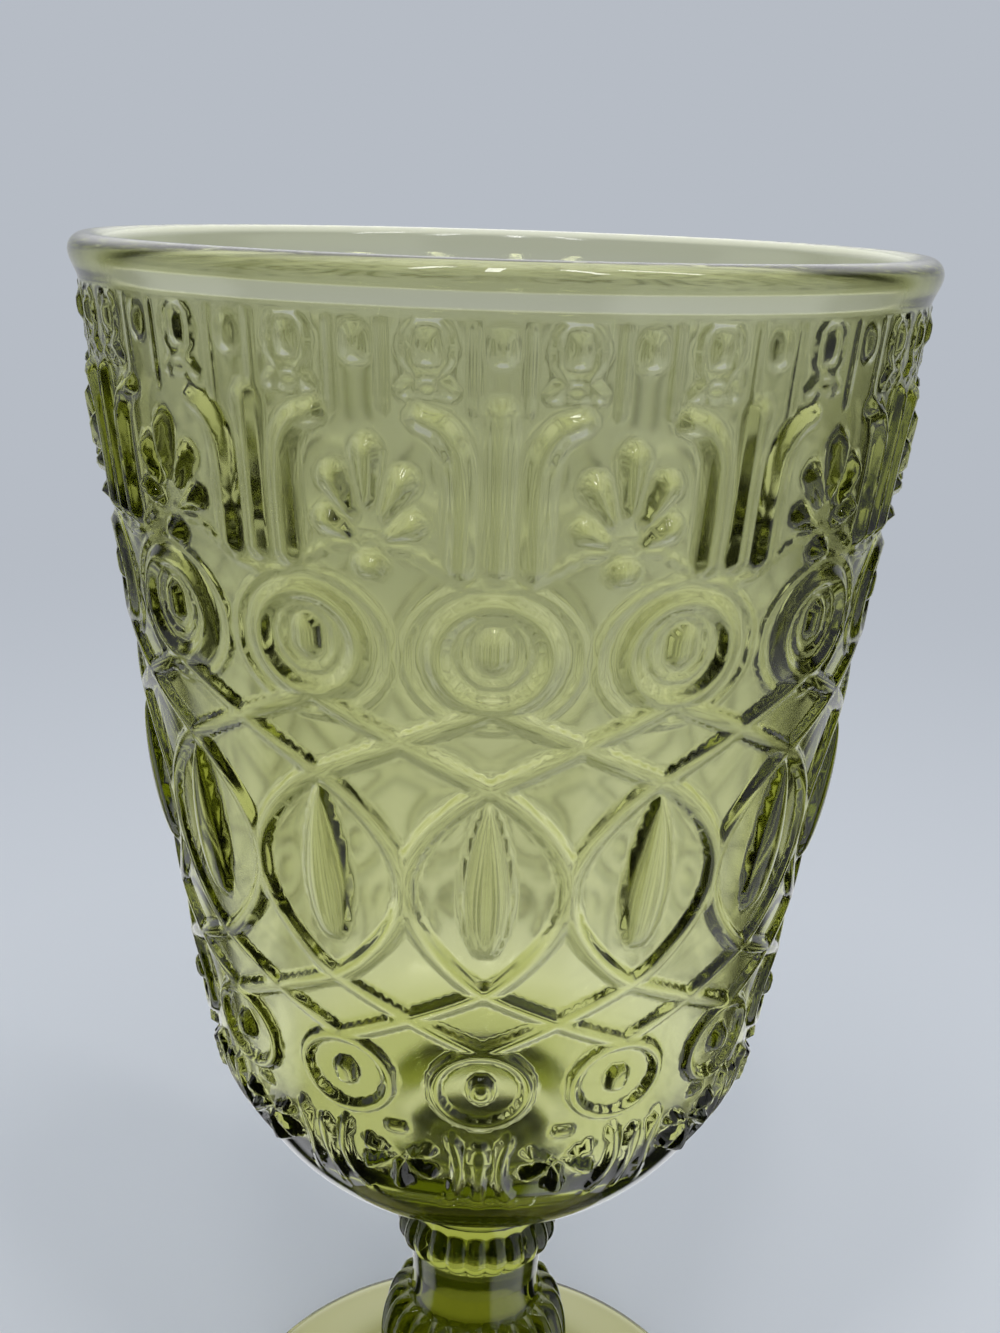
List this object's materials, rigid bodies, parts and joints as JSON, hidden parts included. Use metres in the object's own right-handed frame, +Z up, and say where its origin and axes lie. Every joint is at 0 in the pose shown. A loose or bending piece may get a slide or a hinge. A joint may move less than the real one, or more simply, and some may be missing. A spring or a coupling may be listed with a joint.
{
  "type": "pressed glass goblet",
  "caption": "Short-stemmed pressed glass goblet with a tapered relief bowl, ribbed knop, fluted stem and round foot, for drinking.",
  "frame": {"origin": "on the axis, at the plane that the foot's resting ring stands on", "axes": "+Z up along the goblet's axis, -Y towards the front of the pictured view"},
  "size_m": [0.085, 0.085, 0.153],
  "materials": {
    "bowl_glass": "fire-polished olive green pressed glass",
    "stem_glass": "fire-polished olive green pressed glass, thick"
  },
  "bodies": {
    "root": {"bowl": "bowl_glass", "knop": "stem_glass", "stem": "stem_glass", "foot": "stem_glass"}
  },
  "joints": []
}
